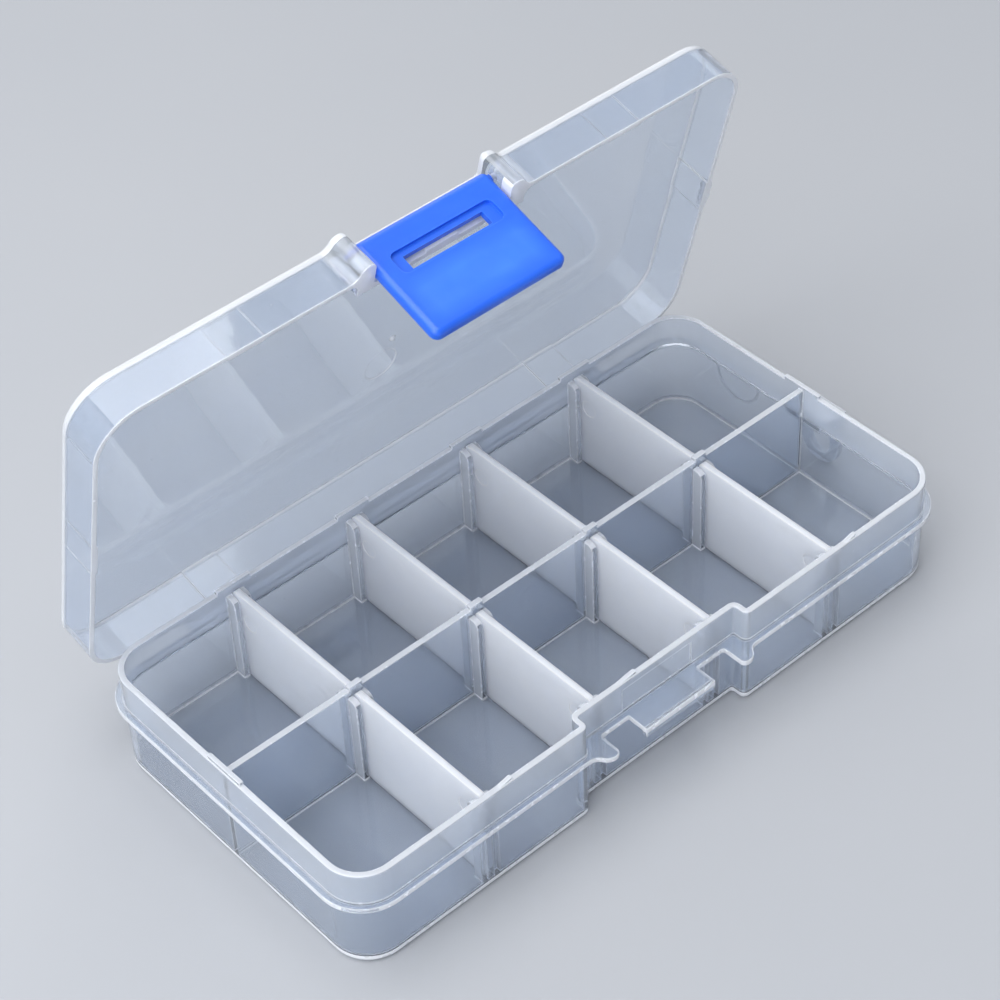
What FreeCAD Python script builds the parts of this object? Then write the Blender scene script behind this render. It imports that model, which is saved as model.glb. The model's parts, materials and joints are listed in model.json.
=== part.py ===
import FreeCAD, Part
import math
import os

# Hinged compartment box: a clear tray with a centre wall and slotted walls, lift-out dividers,
# a clear lid on a moulded film hinge along the back, and a snap latch that swings on the lid.
# Millimetres, +Z up, +X along the box, -Y towards the latch. The origin is the middle of the tray's foot.
# The lid is drawn shut first and then swung to its open rest position.

# Tray
tray_length = 127.5
tray_width = 63.3
tray_height = 20.3
tray_corner = 6.8
wall = 1.0
floor = 1.15
foot_round = 1.0
rim_round = 0.25

# Flange round the tray, where the lid's rim lands
flange_top = 14.25
flange_thick = 0.85
flange_reach = 1.25

# Recess for the latch in the middle of the front wall, with the field of a mould insert on its face
recess_half = 17.1
recess_hollow = 0.5
recess_inner_round = 0.25
recess_depth = 2.8
recess_reach = 1.4
insert_depth = 0.12
insert_drop = 1.4

# Ears on both sides of the latch, on the flange and on the lid
ear_gap_half = 13.5
ear_reach = 2.1
ear_flat = 0.2
ear_run = 3.6
ear_round = 1.0
ear_root_round = 0.5

# Catch that the latch hooks on
catch_half = 7.5
catch_reach = 4.1
catch_lip = 0.9
catch_drop = 1.0
catch_round = 0.3

# Centre wall, divider slots, and the raised pads and nubs on the rims
centre_wall = 1.0
slot_pitch = 25.2
slots_in_row = 4
rib_thick = 1.1
rib_depth = 2.0
rib_drop = 1.4
rib_round = 1.3
pad_length = 6.9
end_pad_length = 8.0
pad_rise = 0.7
nub_length = 2.6
front_nub_offset = 3.7
front_nub_rise = 0.55
recess_nub_offset = 6.4
recess_nub_length = 3.8

# Dividers
divider_thick = 1.1
divider_drop = 0.5
divider_foot_round = 3.0
divider_top_round = 0.8
divider_side_gap = 0.1
divider_end_gap = 0.15
mark_radius = 1.6
mark_depth = 0.12
mark_end_share = 0.13
mark_height_share = 0.7

# Hanging loop outside the right end
loop_stand_off = 5.0
loop_width = 8.6
loop_arm = 1.9
loop_thick = 1.2
loop_tab = 0.8
loop_ground = 0.5
loop_bridge = 1.0

# Round mould mark under the flange on the right end
mould_mark_radius = 5.2
mould_mark_width = 0.3
mould_mark_rise = 0.12
mould_mark_share = 0.49

# Lid
lid_depth = 8.1
lid_panel = 1.0
lid_clearance = 0.4
lid_seat_gap = 0.05
lid_edge_round = 0.9
lid_pad_rise = 0.3
open_angle = 75.0

# Step in the lid's front wall behind the latch window
step_half = 3.2
step_rise = 0.6
step_height = 2.0

# Gate nub in the middle of the lid's inner face, and a round mould mark between it and the hinge
gate_radius = 0.65
gate_rise = 0.45
lid_mark_radius = 3.3
lid_mark_depth = 0.12
lid_mark_back = 5.5
lid_mark_left = 1.8

# Rough gate scar at the rim of the lid's right end
scar_length = 6.4
scar_reach = 0.7
scar_height = 1.5
scar_tooth_shares = (0.5, 0.9, 0.65, 1.0, 0.75, 0.4)

# Film hinge along the back
film_thick = 0.35
hinge_half = 46.0
hinge_back = 1.58
bead_radius = 0.25
bead_clearance = 0.05

# Latch
latch_side_gap = 0.25
latch_gap = 0.3
latch_drop = 14.0
latch_tilt = 4.5
latch_corner = 1.4
latch_round = 1.0
barrel_radius = 1.4
barrel_gap = 0.3
pivot_rise = 4.75
pin_radius = 0.8
pin_length = 1.6
pin_clearance = 0.05
pin_end_gap = 0.3
window_side_gap = 0.45
window_below = 2.25
window_above = 0.35
pocket_side = 2.2
pocket_above = 1.1
pocket_below = 0.6
pocket_depth = 0.7
pocket_round = 1.2
hollow_border = 2.5
hollow_depth = 0.7
hollow_round = 2.0

# How far a cutting solid runs past the faces that it cuts
overrun = 1.0

# Worked out from the sizes above
flange_under = flange_top - flange_thick
half_length = tray_length / 2
half_width = tray_width / 2
recess_front = half_width - recess_depth
recess_round = wall + recess_inner_round
skirt_recess_front = recess_front + recess_reach
skirt_half_length = half_length + flange_reach
skirt_half_width = half_width + flange_reach
inner_half_length = half_length - wall
inner_half_width = half_width - wall
slot_half = divider_thick / 2 + divider_side_gap + rib_thick
lid_rim = flange_top + lid_seat_gap
lid_top = lid_rim + lid_depth
lid_ceiling = lid_top - lid_panel
hinge_axis_y = skirt_half_width + hinge_back
hinge_axis_z = (flange_top + lid_rim) / 2
latch_half = ear_gap_half - latch_side_gap
latch_foot = lid_rim - latch_drop
pivot_y = -(skirt_recess_front + barrel_gap + barrel_radius)
pivot_z = lid_rim + pivot_rise
latch_lean = pivot_rise * math.tan(math.radians(latch_tilt))
latch_inner = skirt_recess_front + step_rise + latch_gap + latch_lean
latch_outer = barrel_radius - pivot_y
X_AXIS = FreeCAD.Vector(1, 0, 0)


def vector(x, y, z):
    return FreeCAD.Vector(x, y, z)


def box(low, high):
    """A block between two opposite corners."""
    low_corner = vector(min(low[0], high[0]), min(low[1], high[1]), min(low[2], high[2]))
    sides = [abs(b - a) for a, b in zip(low, high)]
    return Part.makeBox(sides[0], sides[1], sides[2], low_corner)


def line(start, end):
    return Part.LineSegment(start, end).toShape()


def arc(centre, radius, start_degrees, end_degrees, place):
    """An arc edge in a plane, where place turns two plane coordinates into a point."""
    points = []
    for share in (0.0, 0.5, 1.0):
        angle = math.radians(start_degrees + share * (end_degrees - start_degrees))
        across = centre[0] + radius * math.cos(angle)
        along = centre[1] + radius * math.sin(angle)
        points.append(place(across, along))
    return Part.Arc(points[0], points[1], points[2]).toShape()


def joined(edges):
    """Arcs given in order, with straight lines filling the gaps between them, as one closed face."""
    loop = []
    for index, edge in enumerate(edges):
        follower = edges[(index + 1) % len(edges)]
        loop.append(edge)
        end = edge.lastVertex(True).Point
        start = follower.firstVertex(True).Point
        if end.distanceToPoint(start) > Part.Precision.confusion():
            loop.append(line(end, start))
    return Part.Face(Part.Wire(Part.__sortEdges__(loop)))


def s_curve(run, rise):
    """Radius and turn of two equal arcs that carry a line sideways by rise over a length of run."""
    radius = (run ** 2 + rise ** 2) / (4 * rise)
    turn = math.degrees(2 * math.atan2(rise, run))
    return radius, turn


def corner_arcs(half_x, half_y, radius, place):
    """The right front, right back, left back and left front corner arcs, in order."""
    arcs = []
    for sign_x, sign_y, start in ((1, -1, 270), (1, 1, 0), (-1, 1, 90), (-1, -1, 180)):
        centre = (sign_x * (half_x - radius), sign_y * (half_y - radius))
        arcs.append(arc(centre, radius, start, start + 90, place))
    return arcs


def at_height(z):
    return lambda x, y: vector(x, y, z)


def tray_outline(inset, z):
    """The wall's plan with the latch recess, drawn in by inset all round."""
    place = at_height(z)
    corners = corner_arcs(half_length - inset, half_width - inset, tray_corner - inset, place)
    hollow_x = recess_half - recess_hollow
    hollow_y = -recess_front - recess_hollow
    round_x = recess_half + recess_round
    round_y = recess_round - half_width
    right_hollow = arc((hollow_x, hollow_y), recess_hollow + inset, 90, 0, place)
    right_round = arc((round_x, round_y), recess_round - inset, 180, 270, place)
    left_round = arc((-round_x, round_y), recess_round - inset, 270, 360, place)
    left_hollow = arc((-hollow_x, hollow_y), recess_hollow + inset, 180, 90, place)
    return joined([right_hollow, right_round] + corners + [left_round, left_hollow])


def skirt_outline(z):
    """The plan that the flange and the lid share: ears beside the latch, and a recess between them."""
    place = at_height(z)
    radius, turn = s_curve(ear_run, ear_reach)
    corners = corner_arcs(skirt_half_length, skirt_half_width, tray_corner + flange_reach, place)
    tip_y = skirt_half_width + ear_reach
    tip_x = ear_gap_half + ear_round
    rise_x = tip_x + ear_flat
    base_x = rise_x + ear_run
    root_x = ear_gap_half - ear_root_round
    root_y = -skirt_recess_front - ear_root_round
    right = [
        arc((root_x, root_y), ear_root_round, 90, 0, place),
        arc((tip_x, ear_round - tip_y), ear_round, 180, 270, place),
        arc((rise_x, radius - tip_y), radius, 270, 270 + turn, place),
        arc((base_x, -skirt_half_width - radius), radius, 90 + turn, 90, place),
    ]
    left = [
        arc((-base_x, -skirt_half_width - radius), radius, 90, 90 - turn, place),
        arc((-rise_x, radius - tip_y), radius, 270 - turn, 270, place),
        arc((-tip_x, ear_round - tip_y), ear_round, 270, 360, place),
        arc((-root_x, root_y), ear_root_round, 180, 90, place),
    ]
    return joined(right + corners + left)


def raised(face, height):
    return face.extrude(vector(0, 0, height))


def edges_at(shape, z):
    """The edges that lie wholly in one level plane."""
    found = []
    for edge in shape.Edges:
        near = Part.Precision.confusion() + edge.Tolerance
        bounds = edge.BoundBox
        if abs(bounds.ZMin - z) < near and abs(bounds.ZMax - z) < near:
            found.append(edge)
    return found


def slot_places():
    """Where the dividers stand along the box."""
    first = -slot_pitch * (slots_in_row - 1) / 2
    return [first + slot_pitch * index for index in range(slots_in_row)]


def front_inner_at(x):
    """How far out the front wall's inner face lies, at its nearest to the middle over a slot's width."""
    near = max(abs(x) - slot_half, 0)
    past_flat = near - (recess_half - recess_hollow)
    to_end = recess_half + recess_round - near
    if past_flat <= 0:
        return recess_front - wall
    if to_end <= 0:
        return inner_half_width
    if near < recess_half + wall:
        return recess_front + recess_hollow - math.sqrt((recess_hollow + wall) ** 2 - past_flat ** 2)
    return half_width - recess_round + math.sqrt(recess_inner_round ** 2 - to_end ** 2)


def rib(x, root_y, tip_y):
    """One slot rib standing on the floor, from inside a wall to its tip, which is rounded at the top."""
    top = tray_height - rib_drop
    foot_z = floor / 2
    inward = math.copysign(1, tip_y - root_y)
    place = lambda y, z: vector(x - rib_thick / 2, y, z)
    centre = (tip_y - inward * rib_round, top - rib_round)
    start = 0 if inward > 0 else 180
    rounding = arc(centre, rib_round, start, 90, place)
    outline = [
        rounding,
        line(rounding.lastVertex(True).Point, place(root_y, top)),
        line(place(root_y, top), place(root_y, foot_z)),
        line(place(root_y, foot_z), place(tip_y, foot_z)),
        line(place(tip_y, foot_z), rounding.firstVertex(True).Point),
    ]
    face = Part.Face(Part.Wire(Part.__sortEdges__(outline)))
    return face.extrude(vector(rib_thick, 0, 0))


def slot_ribs():
    """A pair of ribs for each slot, on the back wall, the front wall and both sides of the centre wall."""
    beside = slot_half - rib_thick / 2
    centre_tip = centre_wall / 2 + rib_depth
    inside = raised(tray_outline(wall / 2, 0), tray_height)
    ribs = []
    for x in slot_places():
        front_tip = rib_depth - front_inner_at(x)
        for side in (-beside, beside):
            ribs.append(rib(x + side, half_width - wall / 2, inner_half_width - rib_depth))
            ribs.append(rib(x + side, 0, centre_tip))
            ribs.append(rib(x + side, 0, -centre_tip))
            ribs.append(rib(x + side, -half_width, front_tip).common(inside))
    return ribs


def rim_pads():
    """Raised pads on the back rim above each slot and at both ends, and nubs along the centre wall."""
    low = tray_height - wall
    high = tray_height + pad_rise
    half_nub = nub_length / 2
    middle = centre_wall / 2
    slots = slot_places()
    spans = [((x - pad_length / 2, middle), (x + pad_length / 2, half_width)) for x in slots]
    spans += [((-half_length, -end_pad_length / 2), (-inner_half_length, end_pad_length / 2))]
    spans += [((inner_half_length, -end_pad_length / 2), (half_length, end_pad_length / 2))]
    rim = raised(tray_outline(rim_round, low), high - low).cut(raised(tray_outline(wall, low), high - low))
    pads = [rim.common(box(near + (low,), far + (high,))) for near, far in spans]
    nubs = [box((x - half_nub, -middle, low), (x + half_nub, middle, high)) for x in slots]
    return pads + nubs


def front_nub(middle_x, length, face_y):
    """A wedge on the front rim that rises to its right end, on the wall whose outer face is at face_y."""
    left = middle_x - length / 2
    right = middle_x + length / 2
    low = tray_height - wall
    corners = ((left, low), (right, low), (right, tray_height + front_nub_rise), (left, tray_height))
    points = [vector(x, face_y + rim_round, z) for x, z in corners]
    side = Part.Face(Part.makePolygon(points + points[:1]))
    return side.extrude(vector(0, wall - rim_round, 0))


def front_nubs():
    """Wedges beside the two end slots, and one on the rim of the recess."""
    slots = slot_places()
    nubs = [front_nub(x + front_nub_offset, nub_length, -half_width) for x in (slots[0], slots[-1])]
    nubs.append(front_nub(slots[1] + recess_nub_offset, recess_nub_length, -recess_front))
    return nubs


def recess_insert():
    """The shallow field that the mould's insert left on the recess wall above the catch."""
    low = (-catch_half, -recess_front - overrun, flange_top)
    return box(low, (catch_half, insert_depth - recess_front, tray_height - insert_drop))


def hanging_loop():
    """A tab out from under the flange that carries an upright ring clear of the end wall."""
    outer_x = skirt_half_length + loop_stand_off
    inner_x = outer_x - loop_thick
    half_loop = loop_width / 2
    hole_radius = half_loop - loop_arm
    centre_z = loop_ground + half_loop
    hole_top = flange_under - loop_bridge
    tab_root = (half_length - wall / 2, -half_loop, flange_under - loop_tab)
    tab = box(tab_root, (outer_x, half_loop, flange_under))
    ring = box((inner_x, -half_loop, centre_z), (outer_x, half_loop, flange_under))
    ring = ring.fuse(Part.makeCylinder(half_loop, loop_thick, vector(inner_x, 0, centre_z), X_AXIS))
    cut_x = inner_x - overrun
    cut_length = loop_thick + 2 * overrun
    hole = Part.makeCylinder(hole_radius, cut_length, vector(cut_x, 0, centre_z), X_AXIS)
    slot = box((cut_x, -hole_radius, centre_z), (cut_x + cut_length, hole_radius, hole_top))
    return tab.fuse(ring.cut(hole.fuse(slot)))


def mould_mark():
    """A faint half ring left by the mould on the right end, hanging below the flange."""
    centre = vector(half_length - wall / 2, mould_mark_share * half_width, flange_under)
    depth = wall / 2 + mould_mark_rise
    outer = Part.makeCylinder(mould_mark_radius, depth, centre, X_AXIS)
    inner = Part.makeCylinder(mould_mark_radius - mould_mark_width, depth, centre, X_AXIS)
    low = (half_length - wall, -half_width, 0)
    high = (half_length + wall, half_width, flange_under + flange_thick / 2)
    return outer.cut(inner).common(box(low, high))


def tray_film():
    """The tray's half of the film hinge, with the bead that the lid's half turns round."""
    root_y = skirt_half_width - flange_reach / 2
    web = box((-hinge_half, root_y, flange_top - film_thick), (hinge_half, hinge_axis_y, flange_top))
    start = vector(-hinge_half, hinge_axis_y, hinge_axis_z)
    return web.fuse(Part.makeCylinder(bead_radius, 2 * hinge_half, start, X_AXIS))


def make_tray():
    """Walls, floor, flange with ears and catch, centre wall, slots and hanging loop, as one moulding."""
    shell = raised(tray_outline(0, 0), tray_height)
    shell = shell.makeFillet(foot_round, edges_at(shell, 0))
    shell = shell.makeFillet(rim_round, edges_at(shell, tray_height))
    shell = shell.cut(raised(tray_outline(wall, floor), tray_height)).cut(recess_insert())
    flange = raised(skirt_outline(flange_under), flange_thick)
    flange = flange.cut(raised(tray_outline(wall / 2, 0), tray_height))
    root_y = -skirt_recess_front + wall / 2
    tip_y = -skirt_recess_front - catch_reach
    catch = box((-catch_half, tip_y, flange_under), (catch_half, root_y, flange_top))
    lip_low = flange_under - catch_drop
    lip = box((-catch_half, tip_y, lip_low), (catch_half, tip_y + catch_lip, flange_top))
    lip = lip.makeFillet(catch_round, edges_at(lip, lip_low))
    middle = box(
        (-inner_half_length - wall / 2, -centre_wall / 2, floor / 2),
        (inner_half_length + wall / 2, centre_wall / 2, tray_height),
    )
    pieces = [flange, catch, lip, middle, hanging_loop(), mould_mark(), tray_film()]
    pieces = pieces + slot_ribs() + rim_pads() + front_nubs()
    return shell.multiFuse(pieces).removeSplitter()


def lid_pads():
    """Thickened stretches inside the lid's walls that grip the tray's rim."""
    half_pad = pad_length / 2
    inner_y = half_width + lid_clearance
    inner_x = half_length + lid_clearance
    root = flange_reach / 4
    pads = []
    for x in (slot_places()[0], slot_places()[-1]):
        for side in (-1, 1):
            low = (x - half_pad, side * (inner_y - lid_pad_rise), lid_rim)
            high = (x + half_pad, side * (inner_y + root), lid_ceiling + lid_panel / 2)
            pads.append(box(low, high))
    for side in (-1, 1):
        low = (side * (inner_x - lid_pad_rise), -half_pad, lid_rim)
        high = (side * (inner_x + root), half_pad, lid_ceiling + lid_panel / 2)
        pads.append(box(low, high))
    return pads


def gate_scar():
    """The rough patch where the moulding was cut from its runner, at the rim of the right end."""
    wall_x = skirt_half_length - flange_reach / 4
    tooth_width = scar_length / len(scar_tooth_shares)
    teeth = []
    for index, share in enumerate(scar_tooth_shares):
        low_y = index * tooth_width - scar_length / 2
        reach_x = skirt_half_length + share * scar_reach
        top_z = lid_rim + scar_height * (1 + share) / 2
        teeth.append(box((wall_x, low_y, lid_rim), (reach_x, low_y + tooth_width, top_z)))
    return teeth


def gate_nub():
    """The nub in the middle of the lid's inner face, with its root inside the panel."""
    start = vector(0, 0, lid_ceiling - gate_rise)
    return Part.makeCone(gate_radius / 2, gate_radius, gate_rise + lid_panel / 4, start)


def lid_mark():
    """The shallow round mark in the lid's inner face."""
    start = vector(-lid_mark_left, lid_mark_back, lid_ceiling - overrun)
    return Part.makeCylinder(lid_mark_radius, lid_mark_depth + overrun, start)


def lid_step():
    """A low step on the front wall behind the latch window."""
    low = (-step_half, -skirt_recess_front - step_rise, lid_rim)
    high = (step_half, recess_reach / 4 - skirt_recess_front, lid_rim + step_height)
    return box(low, high)


def lid_film():
    """The lid's half of the film hinge, hollowed to turn round the bead."""
    root_y = skirt_half_width - flange_reach / 4
    end_y = hinge_axis_y - bead_radius
    web = box((-hinge_half, root_y, lid_rim), (hinge_half, end_y, lid_rim + film_thick))
    start = vector(-hinge_half - overrun, hinge_axis_y, hinge_axis_z)
    length = 2 * (hinge_half + overrun)
    return web.cut(Part.makeCylinder(bead_radius + bead_clearance, length, start, X_AXIS))


def ear_holes():
    """Bearing holes for the latch's pins, one in each ear."""
    depth = latch_side_gap + pin_length + pin_end_gap
    holes = []
    for side in (-1, 1):
        start = vector(side * latch_half, pivot_y, pivot_z)
        holes.append(Part.makeCylinder(pin_radius + pin_clearance, depth, start, X_AXIS * side))
    return holes


def make_lid():
    """The shut lid: a shell over the tray's rim, with ears that carry the latch."""
    shell = raised(skirt_outline(lid_rim), lid_depth)
    shell = shell.makeFillet(lid_edge_round, edges_at(shell, lid_top))
    cavity = raised(tray_outline(-lid_clearance, lid_rim), lid_ceiling - lid_rim)
    lid = shell.cut(cavity).cut(lid_mark())
    lid = lid.multiFuse(lid_pads() + gate_scar() + [gate_nub(), lid_step(), lid_film()])
    for hole in ear_holes():
        lid = lid.cut(hole)
    return lid.removeSplitter()


def latch_plate_outline():
    """The latch plate seen from the front, with its two free corners rounded."""
    place = lambda x, z: vector(x, -latch_outer, z)
    centre_x = latch_half - latch_corner
    centre_z = latch_foot + latch_corner
    left_round = arc((-centre_x, centre_z), latch_corner, 180, 270, place)
    right_round = arc((centre_x, centre_z), latch_corner, 270, 360, place)
    outline = [
        left_round,
        line(place(-centre_x, latch_foot), place(centre_x, latch_foot)),
        right_round,
        line(place(latch_half, centre_z), place(latch_half, pivot_z)),
        line(place(latch_half, pivot_z), place(-latch_half, pivot_z)),
        line(place(-latch_half, pivot_z), place(-latch_half, centre_z)),
    ]
    return Part.Face(Part.Wire(Part.__sortEdges__(outline)))


def outer_border(plate):
    """The plate's outer edges, apart from the one under the barrel."""
    near = Part.Precision.confusion()
    found = []
    for edge in plate.Edges:
        middle = edge.CenterOfMass
        if abs(middle.y + latch_outer) < near and middle.z < pivot_z - near:
            found.append(edge)
    return found


def latch_window():
    """The hole in the plate that the catch comes through, and the round-cornered pocket about it."""
    window_half = catch_half + window_side_gap
    low_z = lid_rim - window_below
    high_z = lid_rim + window_above
    front_y = -latch_outer - overrun
    window = box((-window_half, front_y, low_z), (window_half, overrun - latch_inner, high_z))
    pocket_half = window_half + pocket_side
    pocket_low = (-pocket_half, front_y, low_z - pocket_below)
    pocket = box(pocket_low, (pocket_half, pocket_depth - latch_outer, high_z + pocket_above))
    along_y = [edge for edge in pocket.Edges if edge.BoundBox.YLength > pocket_depth]
    return window, pocket.makeFillet(pocket_round, along_y)


def latch_hollow():
    """The shallow hollow in the back of the plate, between the window and the free edge."""
    half = latch_half - hollow_border
    low = (-half, -latch_inner - hollow_depth, latch_foot + hollow_border)
    high = (half, overrun - latch_inner, lid_rim - window_below - hollow_border)
    hollow = box(low, high)
    along_y = [edge for edge in hollow.Edges if edge.BoundBox.YLength > hollow_depth]
    return hollow.makeFillet(hollow_round, along_y)


def make_latch():
    """The shut latch: a barrel with end pins, and a round-edged plate with a window for the catch."""
    plate = latch_plate_outline().extrude(vector(0, latch_outer - latch_inner, 0))
    plate = plate.makeFillet(latch_round, outer_border(plate))
    window, pocket = latch_window()
    plate = plate.cut(pocket).cut(window).cut(latch_hollow())
    plate.rotate(vector(0, pivot_y, pivot_z), X_AXIS, latch_tilt)
    barrel_start = vector(-latch_half, pivot_y, pivot_z)
    barrel = Part.makeCylinder(barrel_radius, 2 * latch_half, barrel_start, X_AXIS)
    rims = [edge for edge in barrel.Edges if edge.BoundBox.XLength < latch_round]
    barrel = barrel.makeFillet(latch_round, rims)
    pin_half = ear_gap_half + pin_length
    pins = Part.makeCylinder(pin_radius, 2 * pin_half, vector(-pin_half, pivot_y, pivot_z), X_AXIS)
    return plate.multiFuse([barrel, pins]).removeSplitter()


def divider_section(wall_y, inward):
    """A divider's side view between the centre wall and the outer wall."""
    place = lambda y, z: vector(0, y, z)
    ends = sorted((wall_y + inward * divider_end_gap, -inward * (centre_wall / 2 + divider_end_gap)))
    top = tray_height - divider_drop
    foot = divider_foot_round
    crown = divider_top_round
    return joined([
        arc((ends[0] + foot, floor + foot), foot, 180, 270, place),
        arc((ends[1] - foot, floor + foot), foot, 270, 360, place),
        arc((ends[1] - crown, top - crown), crown, 0, 90, place),
        arc((ends[0] + crown, top - crown), crown, 90, 180, place),
    ])


def make_divider(x, wall_y, inward):
    """One divider, with the round ejector mark near its outer end."""
    body = divider_section(wall_y, inward).extrude(vector(divider_thick, 0, 0))
    body.translate(vector(x - divider_thick / 2, 0, 0))
    mark_y = wall_y * (1 - mark_end_share)
    mark_z = floor + mark_height_share * (tray_height - floor)
    start = vector(x - divider_thick / 2 - overrun, mark_y, mark_z)
    mark = Part.makeCylinder(mark_radius, overrun + mark_depth, start, X_AXIS)
    return body.cut(mark)


def swung_open(shape):
    """Turn a shut piece to the lid's rest position about the hinge."""
    turned = shape.copy()
    turned.rotate(vector(0, hinge_axis_y, hinge_axis_z), X_AXIS, -open_angle)
    return turned


def save(shape, name):
    solid_count = len(shape.Solids)
    print(name, "solids", solid_count, "valid", shape.isValid(), "volume", round(shape.Volume, 2))
    single = shape.Solids[0] if solid_count == 1 else shape
    single.exportStep("parts/" + name + ".step")


def main():
    os.makedirs("parts", exist_ok=True)
    save(make_tray(), "tray")
    save(swung_open(make_lid()), "lid")
    save(swung_open(make_latch()), "latch")
    for index, x in enumerate(slot_places()):
        save(make_divider(x, inner_half_width, -1), f"back_divider_{index + 1}")
        save(make_divider(x, -front_inner_at(x), 1), f"front_divider_{index + 1}")
    print("hinge axis", hinge_axis_y, hinge_axis_z)
    pivot = swung_open(Part.Vertex(vector(0, pivot_y, pivot_z))).Point
    print("latch axis", pivot.y, pivot.z)


main()
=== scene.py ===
import functools
import json
import math

import bpy
from mathutils import Matrix, Vector

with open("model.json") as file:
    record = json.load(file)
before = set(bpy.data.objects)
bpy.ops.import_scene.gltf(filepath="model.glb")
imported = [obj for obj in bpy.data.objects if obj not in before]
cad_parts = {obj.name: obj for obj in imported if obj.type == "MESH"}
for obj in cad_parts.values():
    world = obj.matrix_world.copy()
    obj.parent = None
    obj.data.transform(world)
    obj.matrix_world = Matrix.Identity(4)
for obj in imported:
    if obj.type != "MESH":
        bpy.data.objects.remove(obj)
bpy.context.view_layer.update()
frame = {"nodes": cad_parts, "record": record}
nodes = frame["nodes"]

# Camera, fitted to the photo's rim, flange and lid edges: metres and degrees, lens and sensor in millimetres
CAMERA_PLACE = (-0.20377, -0.23931, 0.33150)
CAMERA_AZIMUTH = -39.55
CAMERA_ELEVATION = 43.27
CAMERA_ROLL = -3.22
CAMERA_LENS = 97.94
CAMERA_SENSOR = 36.0
CAMERA_NEAREST = 0.01

# Floor, in metres: it lies just under the box
FLOOR_SIZE = 6.0
FLOOR_HEIGHT = -0.0002

# Lights: where they aim, and each light's name, place, width and height in metres, power in watts and colour
LIGHT_TARGET = (0.0, 0.0, 0.03)
LIGHTS = (
    ("key_top", (-0.15, 0.05, 0.75), 0.8, 0.8, 5.0, (1.0, 1.0, 1.0)),
    ("side_left", (-0.70, -0.20, 0.40), 0.9, 0.9, 6.0, (0.95, 0.97, 1.0)),
    ("back_rim", (0.50, 1.10, 0.66), 2.4, 1.0, 6.5, (1.0, 1.0, 1.0)),
)
SKY_COLOUR = (0.80, 0.84, 0.92, 1.0)
SKY_STRENGTH = 0.47

# How often light may pass through walls, and how often it may bounce off dull and glossy faces
CLEAR_BOUNCES = 24
DULL_BOUNCES = 5
GLOSSY_BOUNCES = 8

# Levels and places on the tray, in metres
RIM_LOW = 0.0182
WALL_HALF_LENGTH = 0.0620
WALL_HALF_WIDTH = 0.0272
FLANGE_LOW = 0.0133
FLANGE_HIGH = 0.0143
FLANGE_HALF_LENGTH = 0.0642
FLANGE_HALF_WIDTH = 0.0322
RECESS_HALF = 0.0138
RECESS_FRONT = 0.0300
FOOT_HIGH = 0.0015
SLOT_PITCH = 0.0252
RIB_HALF = 0.00185
CENTRE_RIB_REACH = 0.0026
OUTER_RIB_START = 0.0255
MARK_START = 0.06379
LOOP_START = 0.0655

# Levels and places on the shut lid, in metres
LID_RIM_HIGH = 0.0144
EAR_END = 0.0186
EAR_START = 0.0312
STEP_HIGH = 0.0165
PANEL_LOW = 0.0210
SCAR_START = 0.06502

# The latch's thin field, painted lighter for light shining through it, in metres, with the lid shut: half its
# length, lower and upper edge, their softness
FIELD_HALF = 0.0107
FIELD_LOW = 0.0028
FIELD_HIGH = 0.0096
FIELD_SOFT = 0.0014

# A face counts as level where the upright part of its normal is over the first of these, and as flat where it
# is over the second
LEVEL_SHARE = 0.6
FLAT_SHARE = 0.95

# How white each place on the tray and the lid is painted, from 0 for clear to 1 for white; on the tray rim,
# flange edge and foot, the lid rim, ears and step, and the sharp edges, this white is painted glow of light
# carried along the sheet
RIM_WHITE = 0.65
BAND_WHITE = 0.2
FLANGE_WHITE = 0.8
FOOT_WHITE = 0.95
RIB_WHITE = 0.45
MARK_WHITE = 0.7
LOOP_WHITE = 0.5
LID_RIM_WHITE = 0.9
EAR_WHITE = 0.15
STEP_WHITE = 0.9
ROUNDING_WHITE = 0.7
SCAR_WHITE = 0.8
EDGE_GLOW_WHITE = 0.8
SPECK_WHITE = 0.6

# Colours, each pair mixed by a noise
HAZE = ((0.81, 0.88, 1.0), (0.87, 0.925, 1.0))
# White of the painted glow along edges and sheet ends, also the colour of the dust specks
GLOW_AND_SPECK_WHITE = (0.93, 0.95, 1.0)
MILKY = ((0.80, 0.84, 0.94), (0.87, 0.90, 0.97))
# Painted glow along the dividers' edges
MILKY_EDGE_GLOW = (0.95, 0.965, 1.0)
BLUE = ((0.010, 0.115, 0.72), (0.020, 0.150, 0.82))
# Painted lighter blue for light shining through the latch's thin field
BLUE_LIT_THROUGH = (0.042, 0.205, 0.78)
# Painted highlight along the latch's edges
BLUE_EDGE_HIGHLIGHT = (0.10, 0.32, 1.0)
PALE = ((0.40, 0.415, 0.44), (0.43, 0.44, 0.46))

# How far light of each colour spreads inside the plastics, red, green and blue, as shares of the scale
EVEN_SPREAD = (1.0, 1.0, 1.0)
BLUE_SPREAD = (0.3, 0.6, 1.0)

# Most values of a noise lie between these
NOISE_LOW = 0.3
NOISE_HIGH = 0.7

# An edge starts to show where the rounded and the flat normal agree less than this
EDGE_AGREEMENT = 0.995
EDGE_SAMPLES = 6

# Noise over which dust specks start to show, and over which they are full
SPECK_START = 0.74
SPECK_FULL = 0.80

# The share of light that passes where the plastic is fully white, and the roughness that white adds
WHITE_CLEAR = 0.12
WHITE_ROUGH = 0.25


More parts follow.
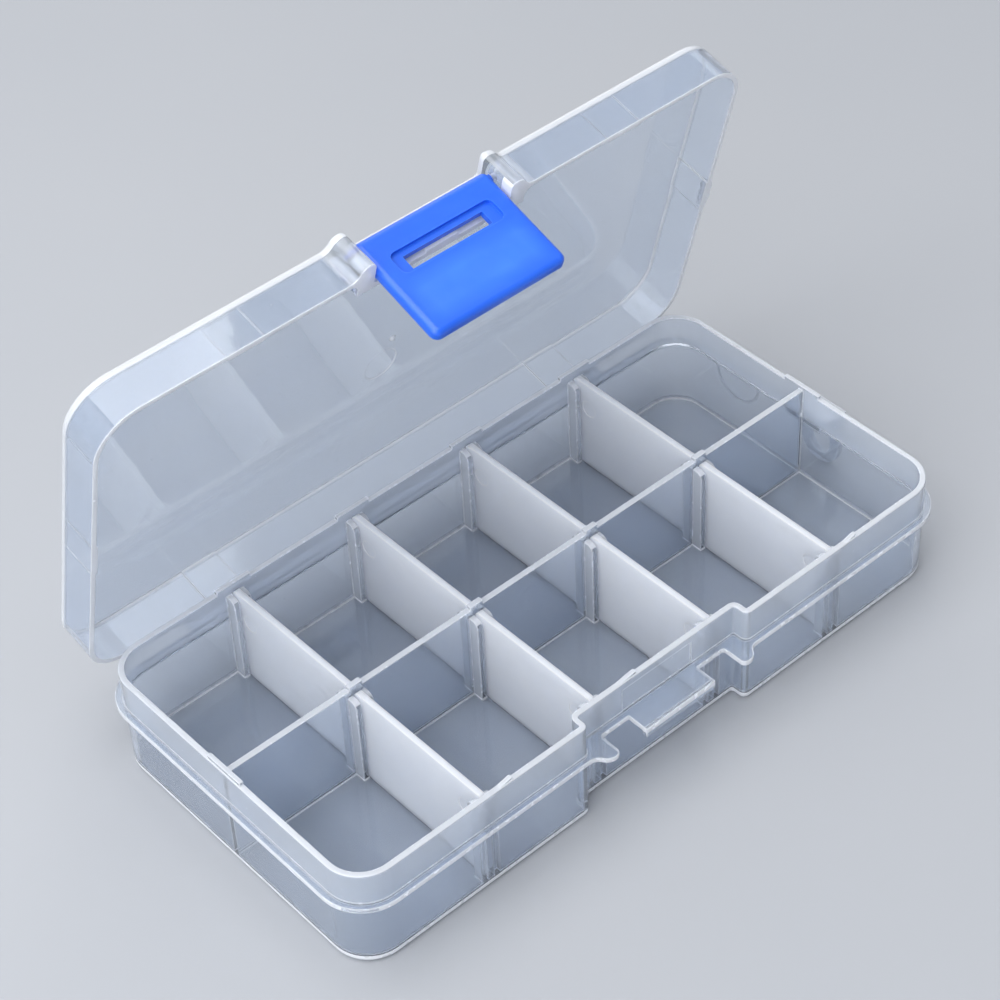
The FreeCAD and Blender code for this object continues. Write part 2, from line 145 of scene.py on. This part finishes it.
class Shader:
    """A node material with one Principled shader, and short ways to add to it."""

    def __init__(self, name):
        self.material = bpy.data.materials.new(name)
        self.material.use_nodes = True
        self.tree = self.material.node_tree
        self.main = next(n for n in self.tree.nodes if n.type == "BSDF_PRINCIPLED")
        coordinates = self.add("ShaderNodeTexCoord")
        self.place = coordinates.outputs["Object"]
        self.normal = coordinates.outputs["Normal"]

    def add(self, kind, **settings):
        node = self.tree.nodes.new(kind)
        for key, value in settings.items():
            setattr(node, key, value)
        return node

    def link(self, source, target):
        self.tree.links.new(source, target)

    def feed(self, socket_name, source):
        """Feeds a socket of the main shader."""
        self.link(source, self.main.inputs[socket_name])

    def set(self, **values):
        """Sets sockets of the main shader to constants, with _ for the spaces in their names."""
        for key, value in values.items():
            self.main.inputs[key.replace("_", " ")].default_value = value

    def noise(self, scale, detail=2.0, roughness=0.5, stretch=(1, 1, 1)):
        """A noise value, with scale in features per metre."""
        mapping = self.add("ShaderNodeMapping")
        mapping.inputs["Scale"].default_value = stretch
        self.link(self.place, mapping.inputs["Vector"])
        texture = self.add("ShaderNodeTexNoise")
        texture.inputs["Scale"].default_value = scale
        texture.inputs["Detail"].default_value = detail
        texture.inputs["Roughness"].default_value = roughness
        self.link(mapping.outputs["Vector"], texture.inputs["Vector"])
        return texture.outputs["Fac"]

    def spread(self, value, low, high, start=NOISE_LOW, end=NOISE_HIGH):
        """Maps a value from start..end to low..high."""
        node = self.add("ShaderNodeMapRange")
        node.inputs["From Min"].default_value = start
        node.inputs["From Max"].default_value = end
        node.inputs["To Min"].default_value = low
        node.inputs["To Max"].default_value = high
        self.link(value, node.inputs["Value"])
        return node.outputs["Result"]

    def blend(self, factor, first, second):
        """A colour between two colours, either of which may be a socket."""
        node = self.add("ShaderNodeMix", data_type="RGBA")
        for identifier, colour in (("A_Color", first), ("B_Color", second)):
            socket = next(s for s in node.inputs if s.identifier == identifier)
            if isinstance(colour, tuple):
                socket.default_value = colour + (1.0,)
            else:
                self.link(colour, socket)
        self.link(factor, node.inputs["Factor"])
        return next(s for s in node.outputs if s.type == "RGBA")

    def math(self, operation, first, second):
        """Two values combined, either of which may be a number."""
        node = self.add("ShaderNodeMath", operation=operation)
        for index, value in enumerate((first, second)):
            if isinstance(value, (int, float)):
                node.inputs[index].default_value = value
            else:
                self.link(value, node.inputs[index])
        return node.outputs["Value"]

    def edges(self, radius, full):
        """A mask that fades in over radius towards a sharp edge; full is the agreement where it reaches 1."""
        rounded = self.add("ShaderNodeBevel", samples=EDGE_SAMPLES)
        rounded.inputs["Radius"].default_value = radius
        flat = self.add("ShaderNodeNewGeometry")
        agreement = self.add("ShaderNodeVectorMath", operation="DOT_PRODUCT")
        self.link(rounded.outputs["Normal"], agreement.inputs[0])
        self.link(flat.outputs["Normal"], agreement.inputs[1])
        return self.spread(agreement.outputs["Value"], 0.0, 1.0, EDGE_AGREEMENT, full)

    def split(self, vector):
        """The three coordinates of a vector."""
        node = self.add("ShaderNodeSeparateXYZ")
        self.link(vector, node.inputs["Vector"])
        return node.outputs["X"], node.outputs["Y"], node.outputs["Z"]

    def turned(self, vector, angle, shift=(0.0, 0.0, 0.0)):
        """A vector turned about X by an angle in radians, then shifted."""
        node = self.add("ShaderNodeMapping")
        node.inputs["Rotation"].default_value = (angle, 0.0, 0.0)
        node.inputs["Location"].default_value = shift
        self.link(vector, node.inputs["Vector"])
        return node.outputs["Vector"]

    def size(self, value):
        return self.math("ABSOLUTE", value, 0.0)

    def over(self, value, limit):
        return self.math("GREATER_THAN", value, limit)

    def under(self, value, limit):
        return self.math("LESS_THAN", value, limit)

    def both(self, *masks):
        """Masks multiplied; a number among them is the weight of the result."""
        return functools.reduce(lambda a, b: self.math("MULTIPLY", a, b), masks)

    def either(self, *masks):
        """The largest of several masks."""
        return functools.reduce(lambda a, b: self.math("MAXIMUM", a, b), masks)

    def bump(self, height, strength, distance):
        node = self.add("ShaderNodeBump")
        node.inputs["Strength"].default_value = strength
        node.inputs["Distance"].default_value = distance
        self.link(height, node.inputs["Height"])
        self.feed("Normal", node.outputs["Normal"])


def tray_white(s):
    """Where the tray is painted white: rim and wall above the flange, flange edge, foot, ribs, mark and loop;
    at the rim, flange edge and foot it is painted glow of light carried along the sheet.
    """
    x, y, z = s.split(s.place)
    along = s.size(x)
    across = s.size(y)
    facing_x, _, facing_z = s.split(s.normal)
    rise = s.size(facing_z)
    upright = s.under(rise, LEVEL_SHARE)
    # Painted glow on the rim top, flange edge and foot, where light carried along the sheet comes out
    rim = s.both(s.over(rise, LEVEL_SHARE), s.over(z, RIM_LOW), RIM_WHITE)
    at_outer_wall = s.either(s.over(along, WALL_HALF_LENGTH), s.over(across, WALL_HALF_WIDTH))
    band = s.both(s.over(z, FLANGE_HIGH), upright, at_outer_wall, BAND_WHITE)
    in_recess = s.both(s.under(y, -RECESS_FRONT), s.under(along, RECESS_HALF))
    outside = s.either(s.over(along, FLANGE_HALF_LENGTH), s.over(across, FLANGE_HALF_WIDTH), in_recess)
    flange = s.both(s.over(z, FLANGE_LOW), s.under(z, FLANGE_HIGH), upright, outside, FLANGE_WHITE)
    foot = s.both(s.under(z, FOOT_HIGH), s.under(rise, FLAT_SHARE), FOOT_WHITE)
    # The slots lie half a pitch from the middle, then a pitch apart
    place_in_pitch = s.math("FRACT", s.math("DIVIDE", x, SLOT_PITCH), 0.0)
    off_slot = s.size(s.math("SUBTRACT", place_in_pitch, 0.5))
    at_slot = s.both(s.under(off_slot, RIB_HALF / SLOT_PITCH), s.under(along, 2 * SLOT_PITCH))
    at_wall = s.either(s.under(across, CENTRE_RIB_REACH), s.over(across, OUTER_RIB_START))
    ribs = s.both(at_slot, at_wall, s.over(s.size(facing_x), LEVEL_SHARE), RIB_WHITE)
    at_mark = s.both(s.over(x, MARK_START), s.under(x, FLANGE_HALF_LENGTH), s.under(z, FLANGE_LOW))
    mark = s.both(at_mark, MARK_WHITE)
    loop = s.both(s.over(x, LOOP_START), LOOP_WHITE)
    return s.either(rim, band, flange, foot, ribs, mark, loop)


def shut_turn():
    """The angle and shift that take a point on the open lid to its place on the shut one."""
    hinge = next(j for j in frame["record"]["behaviour"]["joints"] if j["name"] == "lid_hinge")
    axis_place = Vector(hinge["pos_m"])
    angle = math.radians(hinge["range_deg"][0]) * hinge["axis"][0]
    return angle, axis_place - Matrix.Rotation(angle, 3, "X") @ axis_place


def lid_white(s):
    """Where the lid is painted white, by places on the shut lid: rim, ears, step, panel rounding and gate
    scar; at the rim, ears and step it is painted glow of light carried along the sheet.
    """
    angle, shift = shut_turn()
    x, y, z = s.split(s.turned(s.place, angle, shift))
    along = s.size(x)
    _, _, facing_z = s.split(s.turned(s.normal, angle))
    rise = s.size(facing_z)
    # Painted glow on the lid rim, ears and step
    rim = s.both(s.under(z, LID_RIM_HIGH), s.over(rise, LEVEL_SHARE), LID_RIM_WHITE)
    at_ear = s.both(s.over(along, RECESS_HALF), s.under(along, EAR_END))
    ears = s.both(at_ear, s.under(y, -EAR_START), EAR_WHITE)
    at_step = s.both(s.under(along, RECESS_HALF), s.under(y, -RECESS_FRONT), s.under(z, STEP_HIGH))
    step = s.both(at_step, STEP_WHITE)
    rounding = s.both(s.over(z, PANEL_LOW), s.under(rise, FLAT_SHARE), ROUNDING_WHITE)
    scar = s.both(s.over(x, SCAR_START), SCAR_WHITE)
    return s.either(rim, ears, step, rounding, scar)


def clear_plastic(name, white_places, clear, low_rough, high_rough, speck_share, gloss):
    """Clear moulded polypropylene: a bluish haze, a painted glow of light along the edges and sheet ends,
    flow waves, fine scuffs and dust specks.
    """
    s = Shader(name)
    tint = s.blend(s.noise(scale=60, detail=3.0), *HAZE)
    # Painted glow of light along the sharp edges
    edge = s.both(s.edges(radius=0.0005, full=0.90), EDGE_GLOW_WHITE)
    dust = s.noise(scale=2600)
    speckled = s.spread(dust, 0.0, 1.0, SPECK_START - speck_share, SPECK_FULL - speck_share)
    specks = s.both(speckled, SPECK_WHITE)
    # Painted glow at the edges and sheet ends, together with the dust specks
    white = s.either(white_places(s), edge, specks)
    s.feed("Base Color", s.blend(white, tint, GLOW_AND_SPECK_WHITE))
    s.feed("Transmission Weight", s.spread(white, clear, WHITE_CLEAR, start=0.0, end=1.0))
    s.set(IOR=1.49, Coat_Weight=gloss, Coat_Roughness=0.08)
    s.set(Subsurface_Weight=0.5, Subsurface_Scale=0.002, Subsurface_Radius=EVEN_SPREAD)
    scuffs = s.noise(scale=900, stretch=(1.0, 0.12, 1.0))
    rough = s.spread(scuffs, low_rough, high_rough, start=0.35, end=0.75)
    s.feed("Roughness", s.math("ADD", rough, s.both(white, WHITE_ROUGH)))
    waves = s.math("ADD", s.noise(scale=55), s.spread(scuffs, low=0.0, high=0.01))
    s.bump(waves, strength=0.12, distance=0.0006)
    return s.material


def milky_plastic(name):
    """Frosted polypropylene: dull, grained, with a painted glow along its edges, and thin enough to glow."""
    s = Shader(name)
    tint = s.blend(s.noise(scale=140, detail=4.0), *MILKY)
    # Painted glow along the edges
    s.feed("Base Color", s.blend(s.edges(radius=0.0006, full=0.90), tint, MILKY_EDGE_GLOW))
    s.set(IOR=1.45, Transmission_Weight=0.2)
    s.set(Subsurface_Weight=0.8, Subsurface_Scale=0.003, Subsurface_Radius=EVEN_SPREAD)
    s.feed("Roughness", s.spread(s.noise(scale=300, detail=4.0), low=0.42, high=0.58))
    s.bump(s.noise(scale=5200), strength=0.25, distance=0.00008)
    return s.material


def blue_plastic(name):
    """Blue translucent moulded plastic: satin, painted lighter where light shines through the thin plate,
    with painted highlights along the edges and faint flow marks.
    """
    s = Shader(name)
    x, _, z = s.split(s.turned(s.place, *shut_turn()))
    # Painted light shining through the thin field, patchy by a noise
    inside_x = s.spread(s.size(x), 1.0, 0.0, FIELD_HALF - FIELD_SOFT, FIELD_HALF + FIELD_SOFT)
    above = s.spread(z, 0.0, 1.0, FIELD_LOW - FIELD_SOFT, FIELD_LOW + FIELD_SOFT)
    below = s.spread(z, 1.0, 0.0, FIELD_HIGH - FIELD_SOFT, FIELD_HIGH + FIELD_SOFT)
    thin = s.both(inside_x, above, below, s.spread(s.noise(scale=160), low=0.6, high=1.0))
    tint = s.blend(s.noise(scale=120, detail=3.0), *BLUE)
    field = s.blend(thin, tint, BLUE_LIT_THROUGH)
    # Painted highlight along the edges, patchy by a noise
    highlight_patches = s.spread(s.noise(scale=500, detail=3.0), low=0.1, high=0.5)
    edge_highlight = s.both(s.edges(radius=0.0003, full=0.80), highlight_patches)
    s.feed("Base Color", s.blend(edge_highlight, field, BLUE_EDGE_HIGHLIGHT))
    s.set(IOR=1.45, Coat_Weight=0.4, Coat_Roughness=0.22)
    s.set(Subsurface_Weight=0.25, Subsurface_Scale=0.0015, Subsurface_Radius=BLUE_SPREAD)
    flow = s.noise(scale=700, detail=5.0, roughness=0.6, stretch=(0.2, 1.0, 1.0))
    s.feed("Roughness", s.spread(flow, low=0.30, high=0.42))
    s.bump(s.noise(scale=1600, detail=3.0), strength=0.08, distance=0.0001)
    return s.material


def floor_material():
    s = Shader("floor_pale")
    s.feed("Base Color", s.blend(s.noise(scale=9, detail=3.0), *PALE))
    s.set(Roughness=0.7)
    return s.material


def dress(node_name, material):
    """Gives a node one material in every slot."""
    data = nodes[node_name].data
    if not data.materials:
        data.materials.append(material)
    for index in range(len(data.materials)):
        data.materials[index] = material


def dress_nodes():
    tray = clear_plastic("clear_tray", tray_white, clear=0.89, low_rough=0.03, high_rough=0.10,
                         speck_share=0.0, gloss=0.15)
    lid = clear_plastic("clear_lid", lid_white, clear=0.90, low_rough=0.02, high_rough=0.05,
                        speck_share=0.02, gloss=0.25)
    milky = milky_plastic("milky_divider")
    dress("tray", tray)
    dress("lid", lid)
    dress("latch", blue_plastic("blue_latch"))
    for name in nodes:
        if "divider" in name:
            dress(name, milky)


def make_floor():
    bpy.ops.mesh.primitive_plane_add(size=FLOOR_SIZE, location=(0, 0, FLOOR_HEIGHT))
    floor = bpy.context.object
    floor.name = "floor"
    floor.data.materials.append(floor_material())


def area_light(name, place, width, height, power, colour):
    data = bpy.data.lights.new(name, "AREA")
    data.shape = "RECTANGLE"
    data.size = width
    data.size_y = height
    data.energy = power
    data.color = colour
    light = bpy.data.objects.new(name, data)
    light.location = place
    light.rotation_euler = (Vector(LIGHT_TARGET) - Vector(place)).to_track_quat("-Z", "Y").to_euler()
    bpy.context.collection.objects.link(light)


def make_lights():
    world = bpy.data.worlds.new("studio")
    world.use_nodes = True
    background = world.node_tree.nodes["Background"]
    background.inputs["Color"].default_value = SKY_COLOUR
    background.inputs["Strength"].default_value = SKY_STRENGTH
    bpy.context.scene.world = world
    for light in LIGHTS:
        area_light(*light)


def make_camera():
    azimuth = math.radians(CAMERA_AZIMUTH)
    elevation = math.radians(CAMERA_ELEVATION)
    roll = math.radians(CAMERA_ROLL)
    forward = Vector((
        -math.sin(azimuth) * math.cos(elevation),
        math.cos(azimuth) * math.cos(elevation),
        -math.sin(elevation),
    ))
    level = Vector((math.cos(azimuth), math.sin(azimuth), 0.0))
    rise = level.cross(forward)
    right = math.cos(roll) * level + math.sin(roll) * rise
    up = -math.sin(roll) * level + math.cos(roll) * rise
    data = bpy.data.cameras.new("camera")
    data.sensor_width = CAMERA_SENSOR
    data.lens = CAMERA_LENS
    data.clip_start = CAMERA_NEAREST
    camera = bpy.data.objects.new("camera", data)
    turn = Matrix((right, up, -forward)).transposed().to_4x4()
    camera.matrix_world = Matrix.Translation(CAMERA_PLACE) @ turn
    bpy.context.collection.objects.link(camera)
    bpy.context.scene.camera = camera


def set_view():
    """Enough bounces for light to pass through several clear walls, and colours shown as they are."""
    cycles = bpy.context.scene.cycles
    cycles.max_bounces = CLEAR_BOUNCES
    cycles.transmission_bounces = CLEAR_BOUNCES
    cycles.transparent_max_bounces = CLEAR_BOUNCES
    cycles.diffuse_bounces = DULL_BOUNCES
    cycles.glossy_bounces = GLOSSY_BOUNCES
    bpy.context.scene.view_settings.view_transform = "Standard"


dress_nodes()
make_floor()
make_lights()
make_camera()
set_view()
